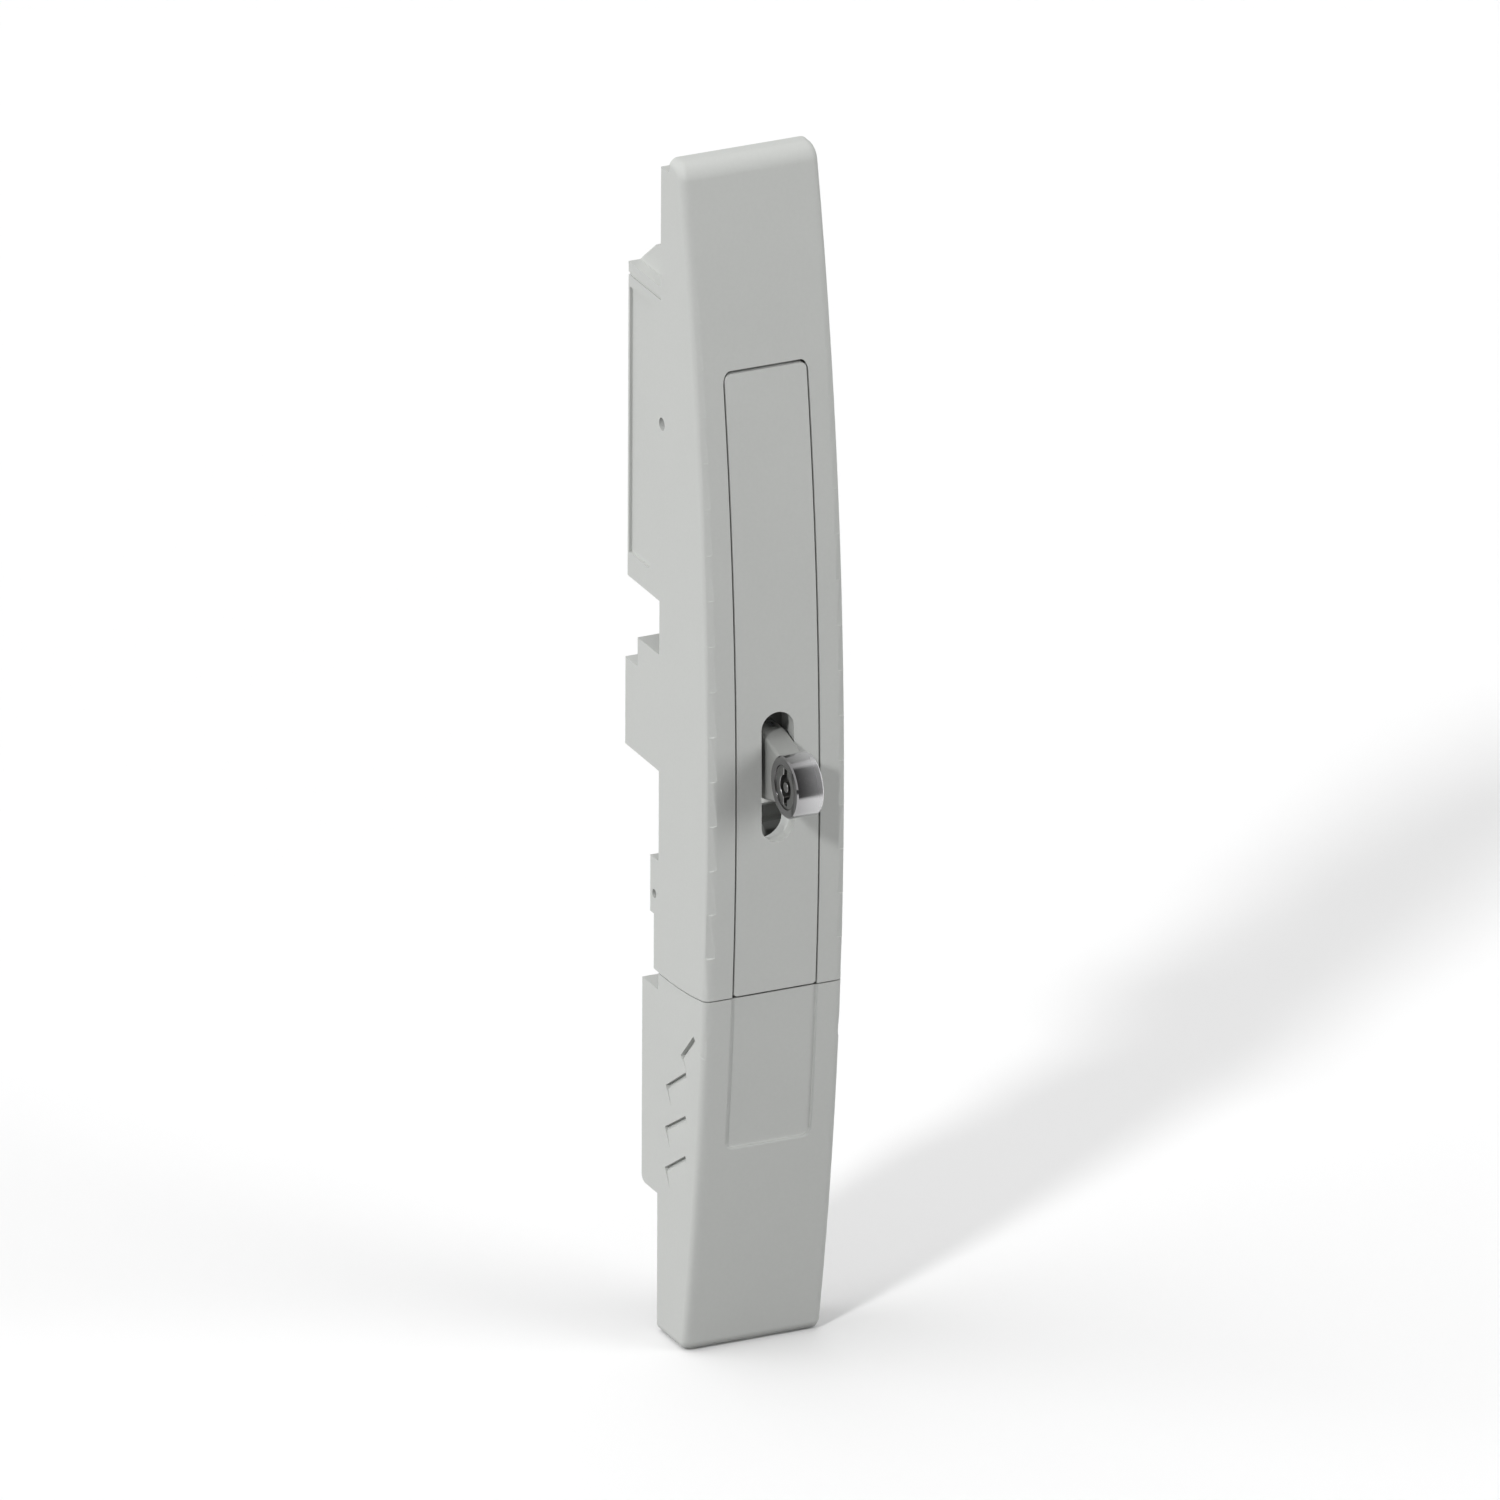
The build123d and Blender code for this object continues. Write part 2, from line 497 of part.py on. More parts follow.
def make_gear():
    """The toothed segment: involute teeth at the back and a plain tail screwed into the arm."""
    pitch_r = GEAR_MODULE * GEAR_TEETH / 2
    base_r = pitch_r * math.cos(math.radians(PRESSURE_ANGLE))
    root_r = pitch_r - 1.25 * GEAR_MODULE
    tip_r = pitch_r + GEAR_MODULE
    half_tooth = math.pi / (2 * GEAR_TEETH) + involute(base_r, pitch_r)

    def flank_point(radius, side):
        angle = half_tooth - involute(base_r, max(radius, base_r))
        return (radius * math.cos(side * angle), radius * math.sin(side * angle))

    radii = (root_r - 0.5, (base_r + tip_r) / 2, tip_r)
    right = [flank_point(radius, -1) for radius in radii]
    left = [flank_point(radius, 1) for radius in radii]
    tooth = make_face([
        ThreePointArc(*right),
        ThreePointArc(right[-1], (tip_r, 0), left[-1]),
        ThreePointArc(*left),
        Line(left[0], right[0]),
    ])
    pitch_angle = 360 / GEAR_TEETH
    first = -pitch_angle / 2
    last = pitch_angle * (GEAR_TEETH_CUT - 0.5)

    def rim_point(radius, angle):
        return (radius * math.cos(math.radians(angle)), radius * math.sin(math.radians(angle)))

    def sector(radius, start, end):
        low, middle, high = [rim_point(radius, angle) for angle in (start, (start + end) / 2, end)]
        return make_face([Line((0, 0), low), ThreePointArc(low, middle, high), Line(high, (0, 0))])

    outline = sector(root_r, first, last) + sector(GEAR_TAIL_R, first, GEAR_TAIL_END)
    for index in range(GEAR_TEETH_CUT):
        outline += Rot(0, 0, index * pitch_angle) * tooth
    outline -= Circle(HUB_R + FIT)
    body = extrude(Plane.YZ * outline, amount=GEAR_HALF, both=True)
    body = Pos(0, -PIVOT_FRONT, PIVOT_HEIGHT) * body
    for angle in GEAR_SCREW_ANGLES:
        front, height = gear_place(GEAR_SCREW_RING, angle)
        body -= disc_x(GEAR_SCREW_R, -GEAR_HALF - 1, GEAR_HALF + 1, front, height)
    return body


def make_gear_screws():
    """Two screws that clamp the segment between the arm's cheeks."""
    screws = []
    body = screw(GEAR_SCREW_R, ARM_HALF * 2 - 1, *GEAR_SCREW_HEAD)
    for angle in GEAR_SCREW_ANGLES:
        front, height = gear_place(GEAR_SCREW_RING, angle)
        screws.append(Pos(-ARM_HALF, -front, height) * Rot(0, 90, 0) * body)
    return Compound(children=screws)


def make_lock_body():
    """The cast lock body: a foot on the back wall and a neck that reaches out through the slot."""
    foot = slab(FOOT_HALF, BACK_WALL, FOOT_FRONT, FOOT_LOW, FOOT_HIGH)
    foot = fillet(foot.edges().filter_by(Axis.Y), 2)
    foot = chamfer(foot.faces().sort_by(Axis.Y)[0].edges(), 1)
    neck = make_face(Polyline(
        (-BACK_WALL, NECK_LOW), (-BACK_WALL, NECK_HIGH), (-NECK_TAPER_START, NECK_HIGH),
        (-NECK_END, NECK_END_HIGH), (-NECK_END, NECK_END_LOW), (-NECK_TAPER_START, NECK_LOW), close=True))
    neck = extrude(Plane.YZ * neck, amount=(NECK_LEFT + NECK_RIGHT) / 2, both=True)
    neck = Pos((NECK_RIGHT - NECK_LEFT) / 2, 0, 0) * neck
    neck = fillet(neck.edges().filter_by(Axis.Y) + neck.edges().filter_by(
        lambda e: abs(e.center().Y + (NECK_TAPER_START + NECK_END) / 2) < 1 and e.length > WALL), NECK_EDGE)
    body = foot + neck
    body -= disc_x(BARREL_R, -FAR, FAR, BARREL_FRONT, LOCK_HEIGHT)
    body -= chamber(0, BOLT_LOW_X - SMALL_GAP / 2, NECK_RIGHT + 1)
    body -= chamber(COVER_LAP, cover_face(), NECK_RIGHT + 1)
    body -= span(BOLT_LOW_X - SMALL_GAP / 2, cover_face(),
                 BOLT_NOSE_BACK - SMALL_GAP, BOLT_NOSE_FRONT + SMALL_GAP, LOCK_HEIGHT, FOOT_HIGH)
    for side in (-1, 1):
        body -= disc_y(LOCK_SCREW_R, 0, LOCK_SCREW_LENGTH, side * LOCK_SCREW_X, lock_screw_height())
    return body


def cover_face():
    """X of the seam between the bolt chamber and its cover."""
    return BOLT_LOW_X + BOLT_THICK + SMALL_GAP / 2


def bolt_travel():
    """The bolt rises by the cam pin's height over a quarter turn."""
    return 2 * CAM_THROW * math.sin(math.radians(KEY_TURN / 2))


def chamber(lap, x_low, x_high):
    """The space in the neck that the bolt slides in, grown by a lap for its cover."""
    half_run = bolt_travel() / 2 + BOLT_BAR_HEIGHT / 2 + SMALL_GAP
    low = LOCK_HEIGHT - half_run - lap
    high = LOCK_HEIGHT + half_run + lap
    return span(x_low, x_high, BOLT_NOSE_BACK - SMALL_GAP - lap, FAR, low, high)


def make_lock_cover():
    """The plate that closes the bolt chamber on the right of the neck."""
    plate = chamber(COVER_LAP - FIT, cover_face(), NECK_RIGHT)
    plate -= span(0, FAR, NECK_END - 1.5, FAR * 2, NECK_LOW - 5, NECK_HIGH + 5)
    plate -= disc_x(BARREL_R + FIT, -FAR, FAR, BARREL_FRONT, LOCK_HEIGHT)
    return plate


def make_barrel():
    """The chrome barrel: a short cup lying across the neck, open to the left."""
    body = disc_x(BARREL_R, -BARREL_HALF, BARREL_HALF, BARREL_FRONT, LOCK_HEIGHT)
    body = chamfer(body.edges().filter_by(GeomType.CIRCLE), BARREL_EDGE)
    body -= disc_x(CORE_R + FIT, -FAR, BARREL_HALF - BARREL_END_WALL, BARREL_FRONT, LOCK_HEIGHT)
    window_high = bolt_travel() / 2 + BOLT_BAR_HEIGHT / 2 + SMALL_GAP
    body -= span(BOLT_LOW_X - SMALL_GAP / 2, cover_face(), 0, BARREL_FRONT,
                 LOCK_HEIGHT - window_high, LOCK_HEIGHT + window_high)
    return body


def make_key_core():
    """The turning core with its double-bit socket and centre pin."""
    left = -BARREL_HALF + CORE_RECESS
    body = disc_x(CORE_R, left, CORE_BACK, BARREL_FRONT, LOCK_HEIGHT)
    floor = left + SOCKET_DEPTH
    body -= disc_x(SOCKET_R, -FAR, floor, BARREL_FRONT, LOCK_HEIGHT)
    body -= span(-FAR, floor, BARREL_FRONT - SOCKET_WING_HALF, BARREL_FRONT + SOCKET_WING_HALF,
                 LOCK_HEIGHT - SOCKET_WING_REACH, LOCK_HEIGHT + SOCKET_WING_REACH)
    body += disc_x(KEY_PIN_R, left + FIT, floor, BARREL_FRONT, LOCK_HEIGHT)
    return body


def make_core_cam():
    """The cam disc riveted behind the core, with the pin that lifts the bolt."""
    body = disc_x(CAM_DISC_R, CORE_BACK, CORE_BACK + CAM_DISC, BARREL_FRONT, LOCK_HEIGHT)
    turn = math.radians(KEY_TURN / 2)
    pin_front = BARREL_FRONT - CAM_THROW * math.cos(turn)
    pin_height = LOCK_HEIGHT - CAM_THROW * math.sin(turn)
    pin_end = BOLT_LOW_X + BOLT_THICK
    return body + disc_x(CAM_PIN_R, CORE_BACK, pin_end, pin_front, pin_height)


def make_latch_bolt():
    """The flat bolt: a fork round the cam pin, a bar along the neck and a nose that rises."""
    x_high = BOLT_LOW_X + BOLT_THICK
    centre = LOCK_HEIGHT - bolt_travel() / 2
    low = centre - BOLT_BAR_HEIGHT / 2
    body = span(BOLT_LOW_X, x_high, BOLT_NOSE_BACK, BOLT_REACH, low, low + BOLT_BAR_HEIGHT)
    body += span(BOLT_LOW_X, x_high, BOLT_NOSE_BACK, BOLT_NOSE_FRONT, low, BOLT_NOSE_TOP)
    fork = CAM_PIN_R + BOLT_FORK_GAP
    root = BARREL_FRONT - CAM_THROW - fork
    body -= span(0, FAR, root, FAR, centre - fork, centre + fork)
    return body


def make_keeper():
    """The steel keeper plate behind the arm, which the risen bolt stands in front of."""
    back = KEEPER_FRONT - KEEPER_THICK
    body = slab(KEEPER_HALF, back, KEEPER_FRONT, KEEPER_LOW, KEEPER_HIGH)
    body = fillet(body.edges().filter_by(Axis.Y), 1.5)
    for side in (-1, 1):
        body -= disc_y(KEEPER_SCREW_R + SMALL_GAP, 0, FAR, side * KEEPER_SCREW_X, KEEPER_SCREW_Z)
    return body


def make_bushes():
    """Left and right flanged bushes of the hub."""
    bushes = {}
    for name, side in (("pivot_bush_left", -1), ("pivot_bush_right", 1)):
        sleeve_x = sorted((side * (HUB_HALF - BUSH_LENGTH), side * HUB_HALF))
        flange_x = sorted((side * HUB_HALF, side * (HUB_HALF + BUSH_FLANGE)))
        body = disc_x(BUSH_R, *sleeve_x, PIVOT_FRONT, PIVOT_HEIGHT)
        body += disc_x(BUSH_FLANGE_R, *flange_x, PIVOT_FRONT, PIVOT_HEIGHT)
        bushes[name] = body - disc_x(PIN_R + FIT, -HALF, HALF, PIVOT_FRONT, PIVOT_HEIGHT)
    return bushes


def make_pivot_pin():
    """The steel pin through the hub, chamfered where it goes in."""
    body = disc_x(PIN_R, -INNER - PIN_SEAT, HALF - SIDE_POCKET_DEPTH - SMALL_GAP, PIVOT_FRONT, PIVOT_HEIGHT)
    return chamfer(body.edges().filter_by(GeomType.CIRCLE), 0.4)


def make_front_screws(places, radius, length, head_r, head_high):
    """Like screws, driven forward, as one group of separate solids."""
    body = screw(radius, length, head_r, head_high)
    return Compound(children=[screw_front(body, x, seat, height) for x, seat, height in places])


def make_buffers():
    """Two rubber buffers that the closed arm rests on."""
    arm_back = front_at(BUFFER_HEIGHT + BUFFER_R, PANEL_THICK + SMALL_GAP + ARM_THICK)
    pads = []
    for side in (-1, 1):
        pad = disc_y(BUFFER_R, BUFFER_SEAT, arm_back - SMALL_GAP * 1.5, side * BUFFER_X, BUFFER_HEIGHT)
        pads.append(chamfer(pad.edges().sort_by(Axis.Y)[0], BUFFER_R / 6))
    return Compound(children=pads)


def make_parts():
    """Every sub-part by node name."""
    lock_places = [(side * LOCK_SCREW_X, 0, lock_screw_height()) for side in (-1, 1)]
    keeper_back = KEEPER_FRONT - KEEPER_THICK
    keeper_places = [(side * KEEPER_SCREW_X, keeper_back, KEEPER_SCREW_Z) for side in (-1, 1)]
    grip_places = [(0, grip_screw_seat(z), z) for z in GRIP_SCREW_HEIGHTS]
    parts = {
        "housing": make_housing(),
        "grip_shell": make_grip(),
        "inlay_panel": make_panel(),
        "lever_arm": make_arm(),
        "gear_segment": make_gear(),
        "gear_screws": make_gear_screws(),
        "pivot_pin": make_pivot_pin(),
        "lock_body": make_lock_body(),
        "lock_cover": make_lock_cover(),
        "barrel": make_barrel(),
        "key_core": make_key_core(),
        "core_cam": make_core_cam(),
        "latch_bolt": make_latch_bolt(),
        "keeper_plate": make_keeper(),
        "lock_screws": make_front_screws(lock_places, LOCK_SCREW_R, LOCK_SCREW_LENGTH, *LOCK_SCREW_HEAD),
        "keeper_screws": make_front_screws(
            keeper_places, KEEPER_SCREW_R, KEEPER_SCREW_LENGTH, *KEEPER_SCREW_HEAD),
        "grip_screws": make_front_screws(
            grip_places, GRIP_SCREW_R, GRIP_SCREW_LENGTH, GRIP_SCREW_HEAD_R, GRIP_SCREW_HEAD_HIGH),
        "stop_buffers": make_buffers(),
    }
    parts.update(make_bushes())
    return parts


os.makedirs("parts", exist_ok=True)
for node, body in make_parts().items():
    placed = Pos(0, 0, -ORIGIN_HEIGHT) * body
    placed.label = node
    export_step(placed, f"parts/{node}.step")
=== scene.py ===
import math

import bpy
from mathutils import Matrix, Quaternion, Vector


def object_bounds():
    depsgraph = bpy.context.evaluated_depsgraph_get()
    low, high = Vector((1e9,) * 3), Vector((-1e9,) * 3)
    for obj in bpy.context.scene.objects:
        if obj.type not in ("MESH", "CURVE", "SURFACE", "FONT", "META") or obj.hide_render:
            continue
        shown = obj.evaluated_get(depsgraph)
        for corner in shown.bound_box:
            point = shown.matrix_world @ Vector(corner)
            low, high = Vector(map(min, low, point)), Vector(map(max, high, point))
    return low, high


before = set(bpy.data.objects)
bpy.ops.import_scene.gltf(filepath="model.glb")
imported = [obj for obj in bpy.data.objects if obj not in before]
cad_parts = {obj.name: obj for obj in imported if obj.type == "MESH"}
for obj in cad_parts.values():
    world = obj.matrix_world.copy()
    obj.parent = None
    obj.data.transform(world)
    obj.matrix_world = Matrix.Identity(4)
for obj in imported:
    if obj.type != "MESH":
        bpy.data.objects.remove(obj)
cad_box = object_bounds()

# The frame is in metres, and small sizes are given here in millimetres
MM = 0.001

# Camera: the photograph's viewing angle through a very long lens, with the handle over FILL of the height
VIEW_AZIMUTH = -25.0
VIEW_ELEVATION = 22.5
VIEW_ROLL = 0.25
VIEW_DISTANCE = 12.9
VIEW_CLIP = (1.0, 100.0)
SENSOR = 36.0
FILL = 0.86

# Suns: name, direction that the light comes from, level, and spread in degrees
LAMPS = (
    ("key", (-0.683, -0.478, 0.554), 1.39, 7.0),
    ("right", (0.677, -0.645, 0.355), 1.37, 40.0),
    ("left", (-0.92, 0.30, 0.25), 1.63, 60.0),
    ("top", (-0.10, 0.25, 0.96), 1.17, 60.0),
)

# Mirrors don't show suns with this spread or more
SOFT_SPREAD = 30.0

# Even light from all round
WORLD_LEVEL = 0.22

# Faint lamps in the lock's slot, which the suns hardly reach: name, place and power
SLOT_FILLS = (
    ("slot_high", (0.0, -0.0160, -0.0405), 0.0010),
    ("slot_low", (0.0, -0.0165, -0.0670), 0.0013),
)
SLOT_FILL_SIZE = 0.002

# The floor, white to the camera and darker in the light that it throws back
FLOOR_HALF = 6.0
FLOOR_WHITE = 0.90
FLOOR_DRIFT = 0.004
FLOOR_PATCHES = 3.0
FLOOR_ROUGH = 0.9
FLOOR_BOUNCE = 0.24

# Mirrors see the floor fade to the dim side between these two places in front of the handle
MIRROR_FLOOR_END = (-0.28, -0.42)

# The studio as mirrors see it, with its dim side up and in front
MIRROR_LEVEL = 0.62
DIM_TOWARDS = (0.0, -0.766, 0.643)
DIM_LEVEL = 0.05
DIM_EDGE = (0.50, 0.70)

# Materials: where a colour's drift starts and ends on its noise, and the usual strength of a bump
DRIFT_RANGE = (0.3, 0.7)
BUMP_STRENGTH = 0.5

# Plastic: scale of the broad drift, the speckle's scale as a share of the grain's, and the drift in gloss
BROAD_SCALE = 45.0
SPECKLE_SHARE = 0.45
GLOSS_DRIFT = (-0.05, 0.06)
PLASTIC_SPECULAR = 0.4

# Metal: lowest and highest roughness, as shares of the named one
METAL_GLOSS = (0.8, 1.25)

# The barrel's left and right ends
BARREL_ENDS = (-3.5 * MM, 3.5 * MM)

# Edge rounds added to the CAD nodes, in millimetres
MOULD_EDGE = 0.15
CAST_EDGE = 0.4
STEEL_EDGE = 0.15
EDGE_STEPS = 2

# Clean-up of the meshes: what is welded, in millimetres, and what counts as flat or sharp, in degrees
WELD = 0.03
FLAT_ANGLE = 0.05
SHARP_ANGLE = 33.0
LEVEL_WEIGHT = 60

# Outline of the recess in the grip's front, and its soft rim
RECESS_HALF = 10.95 * MM
RECESS_LOW = -151.4 * MM
RECESS_CORNER = 2.0 * MM
RIM_HALF = 0.6 * MM
RIM_DEPTH = 0.55 * MM


def new_object(name, data):
    """An object of this data, put in the scene."""
    made = bpy.data.objects.new(name, data)
    bpy.context.scene.collection.objects.link(made)
    return made


def node_tree(name):
    """A new material, its node tree and its Principled shader."""
    material = bpy.data.materials.new(name)
    material.use_nodes = True
    tree = material.node_tree
    return material, tree, tree.nodes["Principled BSDF"]


def add(tree, kind, **values):
    """Adds a node and sets the named input values."""
    node = tree.nodes.new(kind)
    for key, value in values.items():
        node.inputs[key.replace("_", " ")].default_value = value
    return node


def maths(tree, kind, operation, *sources):
    """Adds a maths node and links its inputs in order."""
    node = tree.nodes.new(kind)
    node.operation = operation
    for source, socket in zip(sources, node.inputs):
        tree.links.new(source, socket)
    return node


def blend(tree, share, under, over):
    """Mixes two shaders by a share from 0 to 1."""
    node = tree.nodes.new("ShaderNodeMixShader")
    for source, socket in zip((share, under, over), node.inputs):
        tree.links.new(source, socket)
    return node.outputs["Shader"]


def noise(tree, place, scale, detail=2.0, rough=0.5):
    """A noise texture read at object coordinates."""
    node = add(tree, "ShaderNodeTexNoise", Scale=scale, Detail=detail, Roughness=rough)
    tree.links.new(place.outputs["Object"], node.inputs["Vector"])
    return node


def remap(tree, source, low=0.0, high=1.0, start=0.0, end=1.0, soft=False):
    """Maps a value that runs from start to end on to a range from low to high."""
    node = add(tree, "ShaderNodeMapRange", From_Min=start, From_Max=end, To_Min=low, To_Max=high)
    if soft:
        node.interpolation_type = "SMOOTHSTEP"
    tree.links.new(source, node.inputs["Value"])
    return node.outputs["Result"]


def along(tree, place, axis, start, end):
    """0 to 1 between two places on an axis of the object, in metres."""
    split = tree.nodes.new("ShaderNodeSeparateXYZ")
    tree.links.new(place.outputs["Object"], split.inputs["Vector"])
    return remap(tree, split.outputs[axis], start=start, end=end)


def vary(tree, shader, source, colour, spread):
    """Base colour that drifts a little either side of the named one."""
    ramp = tree.nodes.new("ShaderNodeValToRGB")
    for stop, position, side in zip(ramp.color_ramp.elements, DRIFT_RANGE, (-spread, spread)):
        stop.position = position
        stop.color = [c * (1 + side) for c in colour] + [1]
    tree.links.new(source, ramp.inputs["Fac"])
    tree.links.new(ramp.outputs["Color"], shader.inputs["Base Color"])


def bump(tree, shader, source, depth, strength=BUMP_STRENGTH, under=None):
    """Bump from a height source, of a depth in metres, over another bump if there is one."""
    node = add(tree, "ShaderNodeBump", Strength=strength, Distance=depth)
    tree.links.new(source, node.inputs["Height"])
    if under:
        tree.links.new(under.outputs["Normal"], node.inputs["Normal"])
    tree.links.new(node.outputs["Normal"], shader.inputs["Normal"])


def moulded(name, colour, rough=0.55, grain=2600.0, grain_depth=0.03 * MM, spread=0.02):
    """Moulded plastic with a fine eroded grain and a faint drift in colour and gloss."""
    material, tree, shader = node_tree(name)
    place = tree.nodes.new("ShaderNodeTexCoord")
    fine = noise(tree, place, grain, detail=3.0, rough=0.6)
    broad = noise(tree, place, BROAD_SCALE, detail=3.0)
    speckle = noise(tree, place, grain * SPECKLE_SHARE)
    halves = [remap(tree, part.outputs["Fac"], high=0.5) for part in (broad, speckle)]
    drift = maths(tree, "ShaderNodeMath", "ADD", *halves)
    vary(tree, shader, drift.outputs["Value"], colour, spread)
    gloss = remap(tree, broad.outputs["Fac"], *[rough + change for change in GLOSS_DRIFT])
    tree.links.new(gloss, shader.inputs["Roughness"])
    shader.inputs["Specular IOR Level"].default_value = PLASTIC_SPECULAR
    bump(tree, shader, fine.outputs["Fac"], grain_depth)
    return material


def metal(name, colour, rough, spread, streak=0.0, grain=900.0, grain_depth=0.004 * MM):
    """Bare or plated metal, with upright streaks where it is brushed."""
    material, tree, shader = node_tree(name)
    place = tree.nodes.new("ShaderNodeTexCoord")
    stretch = add(tree, "ShaderNodeMapping", Scale=(1.0, 1.0, 1.0 - streak))
    tree.links.new(place.outputs["Object"], stretch.inputs["Vector"])
    fine = add(tree, "ShaderNodeTexNoise", Scale=grain, Detail=3.0)
    tree.links.new(stretch.outputs["Vector"], fine.inputs["Vector"])
    vary(tree, shader, fine.outputs["Fac"], colour, spread)
    gloss = remap(tree, fine.outputs["Fac"], *[rough * share for share in METAL_GLOSS])
    tree.links.new(gloss, shader.inputs["Roughness"])
    shader.inputs["Metallic"].default_value = 1.0
    bump(tree, shader, fine.outputs["Fac"], grain_depth)
    return material


def soft_rim(material):
    """Widens the recess's small step to a soft rim, by the distance from its outline."""
    tree = material.node_tree
    place = tree.nodes["Texture Coordinate"]
    mirrored = maths(tree, "ShaderNodeVectorMath", "ABSOLUTE", place.outputs["Object"])
    inner = maths(tree, "ShaderNodeVectorMath", "SUBTRACT", mirrored.outputs["Vector"])
    inner.inputs[1].default_value = (RECESS_HALF - RECESS_CORNER, 0, -RECESS_LOW - RECESS_CORNER)
    outside = maths(tree, "ShaderNodeVectorMath", "MAXIMUM", inner.outputs["Vector"])
    flat = maths(tree, "ShaderNodeVectorMath", "MULTIPLY", outside.outputs["Vector"])
    flat.inputs[1].default_value = (1, 0, 1)
    reach = maths(tree, "ShaderNodeVectorMath", "LENGTH", flat.outputs["Vector"])
    rise = remap(tree, reach.outputs["Value"],
                 start=RECESS_CORNER - RIM_HALF, end=RECESS_CORNER + RIM_HALF, soft=True)
    bump(tree, tree.nodes["Principled BSDF"], rise, RIM_DEPTH, strength=1.0, under=tree.nodes["Bump"])


def chrome(name, dark, bright, rough, solid, grain=400.0, grain_depth=0.0005 * MM):
    """The barrel's bright plating, hazier from its left end to its right, with a painted reflection
    shade: its colour runs from dark at the left end to pale at the right.
    """
    material, tree, shader = node_tree(name)
    place = tree.nodes.new("ShaderNodeTexCoord")
    share = along(tree, place, "X", *BARREL_ENDS)
    ramp = tree.nodes.new("ShaderNodeValToRGB")
    for stop, colour in zip(ramp.color_ramp.elements, (dark, bright)):
        stop.color = [*colour, 1]
    tree.links.new(share, ramp.inputs["Fac"])
    tree.links.new(ramp.outputs["Color"], shader.inputs["Base Color"])
    tree.links.new(remap(tree, share, *rough), shader.inputs["Roughness"])
    tree.links.new(remap(tree, share, *solid), shader.inputs["Metallic"])
    fine = noise(tree, place, grain, detail=3.0)
    bump(tree, shader, fine.outputs["Fac"], grain_depth)
    return material


def rubber(name, colour, rough=(0.7, 0.9), spread=0.15, grain=1500.0, grain_depth=0.03 * MM):
    """Dull rubber with a faint pitted skin."""
    material, tree, shader = node_tree(name)
    place = tree.nodes.new("ShaderNodeTexCoord")
    fine = noise(tree, place, grain, detail=4.0, rough=0.7)
    vary(tree, shader, fine.outputs["Fac"], colour, spread)
    tree.links.new(remap(tree, fine.outputs["Fac"], *rough), shader.inputs["Roughness"])
    bump(tree, shader, fine.outputs["Fac"], grain_depth, strength=0.6)
    return material


def smooth_group():
    """Geometry nodes that shade smooth, apart from the edges sharper than an angle."""
    group = bpy.data.node_groups.new("smooth_by_angle", "GeometryNodeTree")
    for way in ("INPUT", "OUTPUT"):
        group.interface.new_socket("Geometry", in_out=way, socket_type="NodeSocketGeometry")
    nodes, links = group.nodes, group.links
    enter = nodes.new("NodeGroupInput")
    leave = nodes.new("NodeGroupOutput")
    angle = nodes.new("GeometryNodeInputMeshEdgeAngle")
    sharp = nodes.new("FunctionNodeCompare")
    sharp.operation = "GREATER_THAN"
    sharp.inputs[1].default_value = math.radians(SHARP_ANGLE)
    faces = nodes.new("GeometryNodeSetShadeSmooth")
    edges = nodes.new("GeometryNodeSetShadeSmooth")
    edges.domain = "EDGE"
    edges.inputs["Shade Smooth"].default_value = False
    links.new(angle.outputs["Unsigned Angle"], sharp.inputs[0])
    links.new(enter.outputs["Geometry"], faces.inputs["Geometry"])
    links.new(faces.outputs["Geometry"], edges.inputs["Geometry"])
    links.new(sharp.outputs["Result"], edges.inputs["Selection"])
    links.new(edges.outputs["Geometry"], leave.inputs["Geometry"])
    return group


SMOOTH = smooth_group()


def finish_node(name, material, edge):
    """Gives a CAD node its material, smooth shading and small edge rounds, with the flats left flat."""
    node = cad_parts[name]
    weld = node.modifiers.new("weld", "WELD")
    weld.merge_threshold = WELD * MM
    flat = node.modifiers.new("flat", "DECIMATE")
    flat.decimate_type = "DISSOLVE"
    flat.angle_limit = math.radians(FLAT_ANGLE)
    smooth = node.modifiers.new("smooth", "NODES")
    smooth.node_group = SMOOTH
    if edge:
        bevel = node.modifiers.new("edge", "BEVEL")
        bevel.width = edge * MM
        bevel.segments = EDGE_STEPS
        bevel.limit_method = "ANGLE"
        bevel.angle_limit = math.radians(SHARP_ANGLE)
        bevel.use_clamp_overlap = True
    level = node.modifiers.new("level", "WEIGHTED_NORMAL")
    level.mode = "FACE_AREA"
    level.weight = LEVEL_WEIGHT
    level.keep_sharp = True
    node.data.materials.clear()
    node.data.materials.append(material)


SHELL_COLOUR = (0.543, 0.554, 0.537)
SHELL = moulded("shell_grey", SHELL_COLOUR)
GRIP = moulded("grip_grey", SHELL_COLOUR)
soft_rim(GRIP)
PANEL = moulded("panel_grey", (0.550, 0.561, 0.544), rough=0.58)
NECK = moulded("neck_grey", (0.32, 0.326, 0.315), rough=0.40, grain=1800.0, grain_depth=0.012 * MM)
CASTING = moulded(
    "cast_grey", (0.64, 0.65, 0.64), rough=0.5, grain=1100.0, grain_depth=0.06 * MM, spread=0.04)
# The barrel's colour ramp from dark to pale is a painted reflection shade along its length
CHROME = chrome(
    "bright_chrome", (0.36, 0.355, 0.36), (0.70, 0.70, 0.71), rough=(0.08, 0.24), solid=(0.98, 0.68))
CORE = metal("nickel", (0.30, 0.30, 0.295), rough=0.30, spread=0.03)
STEEL = metal("plated_steel", (0.60, 0.60, 0.62), rough=0.30, spread=0.06, streak=0.9)
SCREW = metal("screw_steel", (0.55, 0.55, 0.57), rough=0.34, spread=0.05)
BUSH = moulded(
    "bearing_plastic", (0.035, 0.035, 0.036), rough=0.4, grain=1500.0, grain_depth=0.01 * MM, spread=0.08)
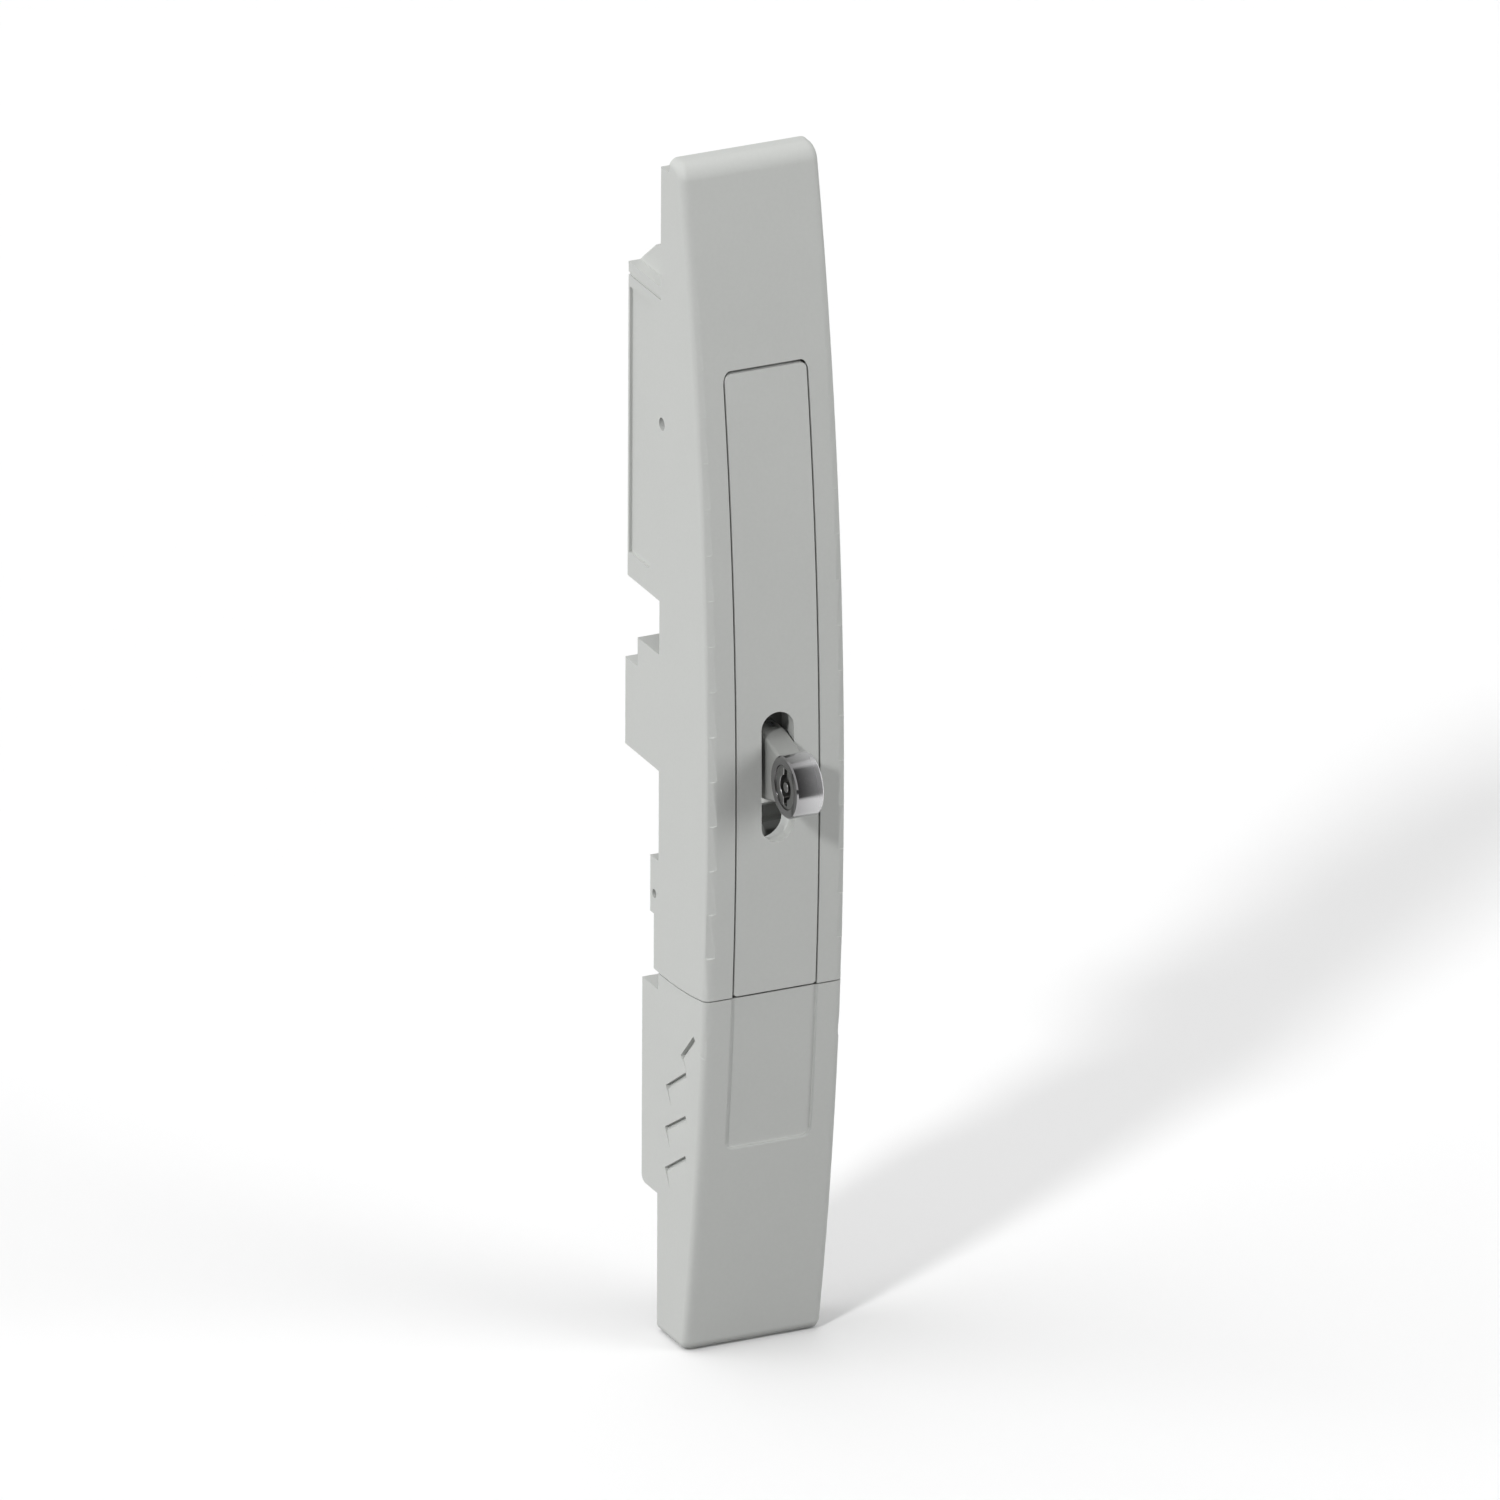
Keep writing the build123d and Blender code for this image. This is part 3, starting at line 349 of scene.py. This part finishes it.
RUBBER = rubber("buffer_rubber", (0.03, 0.03, 0.03))

# The material and the edge round of every node
FINISHES = {
    "housing": (SHELL, MOULD_EDGE),
    "grip_shell": (GRIP, MOULD_EDGE),
    "inlay_panel": (PANEL, MOULD_EDGE),
    "lever_arm": (CASTING, CAST_EDGE),
    "gear_segment": (STEEL, STEEL_EDGE),
    "gear_screws": (SCREW, 0),
    "pivot_pin": (STEEL, 0),
    "pivot_bush_left": (BUSH, STEEL_EDGE),
    "pivot_bush_right": (BUSH, STEEL_EDGE),
    "lock_body": (NECK, STEEL_EDGE),
    "lock_cover": (NECK, STEEL_EDGE),
    "barrel": (CHROME, 0),
    "key_core": (CORE, STEEL_EDGE),
    "core_cam": (STEEL, 0),
    "latch_bolt": (STEEL, STEEL_EDGE),
    "keeper_plate": (STEEL, STEEL_EDGE),
    "lock_screws": (SCREW, 0),
    "keeper_screws": (SCREW, 0),
    "grip_screws": (SCREW, 0),
    "stop_buffers": (RUBBER, 0),
}

for node_name, (finish, edge_round) in FINISHES.items():
    finish_node(node_name, finish, edge_round)


def make_floor():
    """A plain pale floor just under the handle."""
    low, _ = cad_box
    half = FLOOR_HALF
    data = bpy.data.meshes.new("floor")
    corners = [(-half, -half, low.z), (half, -half, low.z), (half, half, low.z), (-half, half, low.z)]
    data.from_pydata(corners, [], [(0, 1, 2, 3)])
    floor = new_object("floor", data)
    material, tree, shader = node_tree("floor_white")
    place = tree.nodes.new("ShaderNodeTexCoord")
    broad = noise(tree, place, FLOOR_PATCHES)
    vary(tree, shader, broad.outputs["Fac"], [FLOOR_WHITE] * 3, FLOOR_DRIFT)
    shader.inputs["Roughness"].default_value = FLOOR_ROUGH
    shader.inputs["Specular IOR Level"].default_value = 0.0
    bounce = add(tree, "ShaderNodeBsdfDiffuse", Color=[FLOOR_BOUNCE] * 3 + [1])
    dark = add(tree, "ShaderNodeBsdfDiffuse", Color=[DIM_LEVEL] * 3 + [1])
    path = tree.nodes.new("ShaderNodeLightPath")
    ahead = along(tree, place, "Y", *MIRROR_FLOOR_END)
    hidden = maths(tree, "ShaderNodeMath", "MULTIPLY", path.outputs["Is Glossy Ray"], ahead)
    lit = blend(tree, path.outputs["Is Diffuse Ray"], shader.outputs["BSDF"], bounce.outputs["BSDF"])
    ended = blend(tree, hidden.outputs["Value"], lit, dark.outputs["BSDF"])
    tree.links.new(ended, tree.nodes["Material Output"].inputs["Surface"])
    data.materials.append(material)


def make_sun(name, source, level, spread):
    """A sun lamp that shines from a direction. Mirrors don't show the wide ones."""
    data = bpy.data.lights.new(name, "SUN")
    data.energy = level
    data.angle = math.radians(spread)
    lamp = new_object(name, data)
    lamp.rotation_mode = "QUATERNION"
    lamp.rotation_quaternion = Vector(source).to_track_quat("Z", "Y")
    lamp.visible_glossy = spread < SOFT_SPREAD


def make_fill(name, place, level):
    """A small lamp inside the handle, which mirrors don't show."""
    data = bpy.data.lights.new(name, "POINT")
    data.energy = level
    data.shadow_soft_size = SLOT_FILL_SIZE
    lamp = new_object(name, data)
    lamp.location = place
    lamp.visible_glossy = False


def make_world():
    """Soft white surroundings. The camera sees plain white, and mirrors see white with a dim front."""
    world = bpy.data.worlds.new("studio")
    bpy.context.scene.world = world
    world.use_nodes = True
    tree = world.node_tree
    tree.nodes.clear()
    out = tree.nodes.new("ShaderNodeOutputWorld")
    soft = add(tree, "ShaderNodeBackground", Strength=WORLD_LEVEL)
    white = add(tree, "ShaderNodeBackground", Strength=1.0)
    mirrored = add(tree, "ShaderNodeBackground")
    for background in (soft, white, mirrored):
        background.inputs["Color"].default_value = (1, 1, 1, 1)

    place = tree.nodes.new("ShaderNodeTexCoord")
    facing = maths(tree, "ShaderNodeVectorMath", "DOT_PRODUCT", place.outputs["Generated"])
    facing.inputs[1].default_value = DIM_TOWARDS
    dim = remap(tree, facing.outputs["Value"], MIRROR_LEVEL, DIM_LEVEL, *DIM_EDGE, soft=True)
    tree.links.new(dim, mirrored.inputs["Strength"])

    path = tree.nodes.new("ShaderNodeLightPath")
    shader = soft.outputs["Background"]
    steps = (("Is Glossy Ray", mirrored), ("Is Transmission Ray", white), ("Is Camera Ray", white))
    for ray, background in steps:
        shader = blend(tree, path.outputs[ray], shader, background.outputs["Background"])
    tree.links.new(shader, out.inputs["Surface"])


def make_camera():
    """A camera at the photograph's viewing angle, framed on the handle."""
    low, high = cad_box
    azimuth, elevation = math.radians(VIEW_AZIMUTH), math.radians(VIEW_ELEVATION)
    back = Vector((
        math.sin(azimuth) * math.cos(elevation),
        -math.cos(azimuth) * math.cos(elevation),
        math.sin(elevation),
    ))
    data = bpy.data.cameras.new("camera")
    camera = new_object("camera", data)
    camera.location = (low + high) / 2 + back * VIEW_DISTANCE
    camera.rotation_mode = "QUATERNION"
    roll = Quaternion((0, 0, 1), math.radians(VIEW_ROLL))
    camera.rotation_quaternion = (-back).to_track_quat("-Z", "Y") @ roll
    size = high - low
    tall = size.z * math.cos(elevation) + size.y * math.sin(elevation)
    data.sensor_width = SENSOR
    data.lens = SENSOR * VIEW_DISTANCE * FILL / tall
    data.clip_start, data.clip_end = VIEW_CLIP
    bpy.context.scene.camera = camera


make_floor()
for lamp in LAMPS:
    make_sun(*lamp)
for lamp in SLOT_FILLS:
    make_fill(*lamp)
make_world()
make_camera()
bpy.context.scene.view_settings.view_transform = "Standard"
